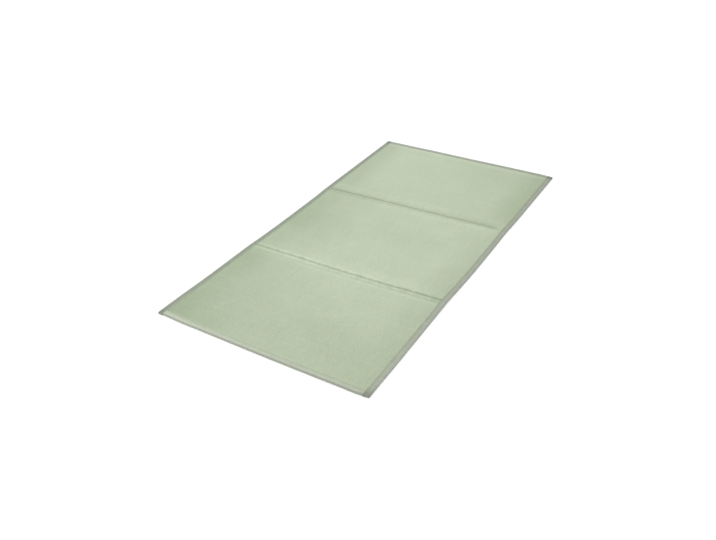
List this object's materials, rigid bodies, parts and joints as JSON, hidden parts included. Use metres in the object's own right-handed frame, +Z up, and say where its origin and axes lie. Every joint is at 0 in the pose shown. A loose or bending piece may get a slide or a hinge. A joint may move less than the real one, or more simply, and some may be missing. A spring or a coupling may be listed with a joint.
{
  "type": "tatami mat",
  "caption": "Flat woven rush floor mat with sewn creases across it, so that it folds up, and a folded cloth binding round its edges.",
  "frame": {"origin": "on the floor, under the middle of the mat's outline", "axes": "+X across the mat, +Y along it from its near short edge to its far one, +Z up out of its face"},
  "size_m": [0.8904, 1.7648, 0.0126],
  "materials": {
    "rush": "dry woven rush stems, matte with a faint sheen, ribbed along the mat",
    "binding": "matte cotton cloth in a fine plain weave"
  },
  "bodies": {
    "root": {"rush_mat": "rush", "binding_left": "binding", "binding_right": "binding", "binding_near": "binding", "binding_far": "binding"}
  },
  "joints": []
}
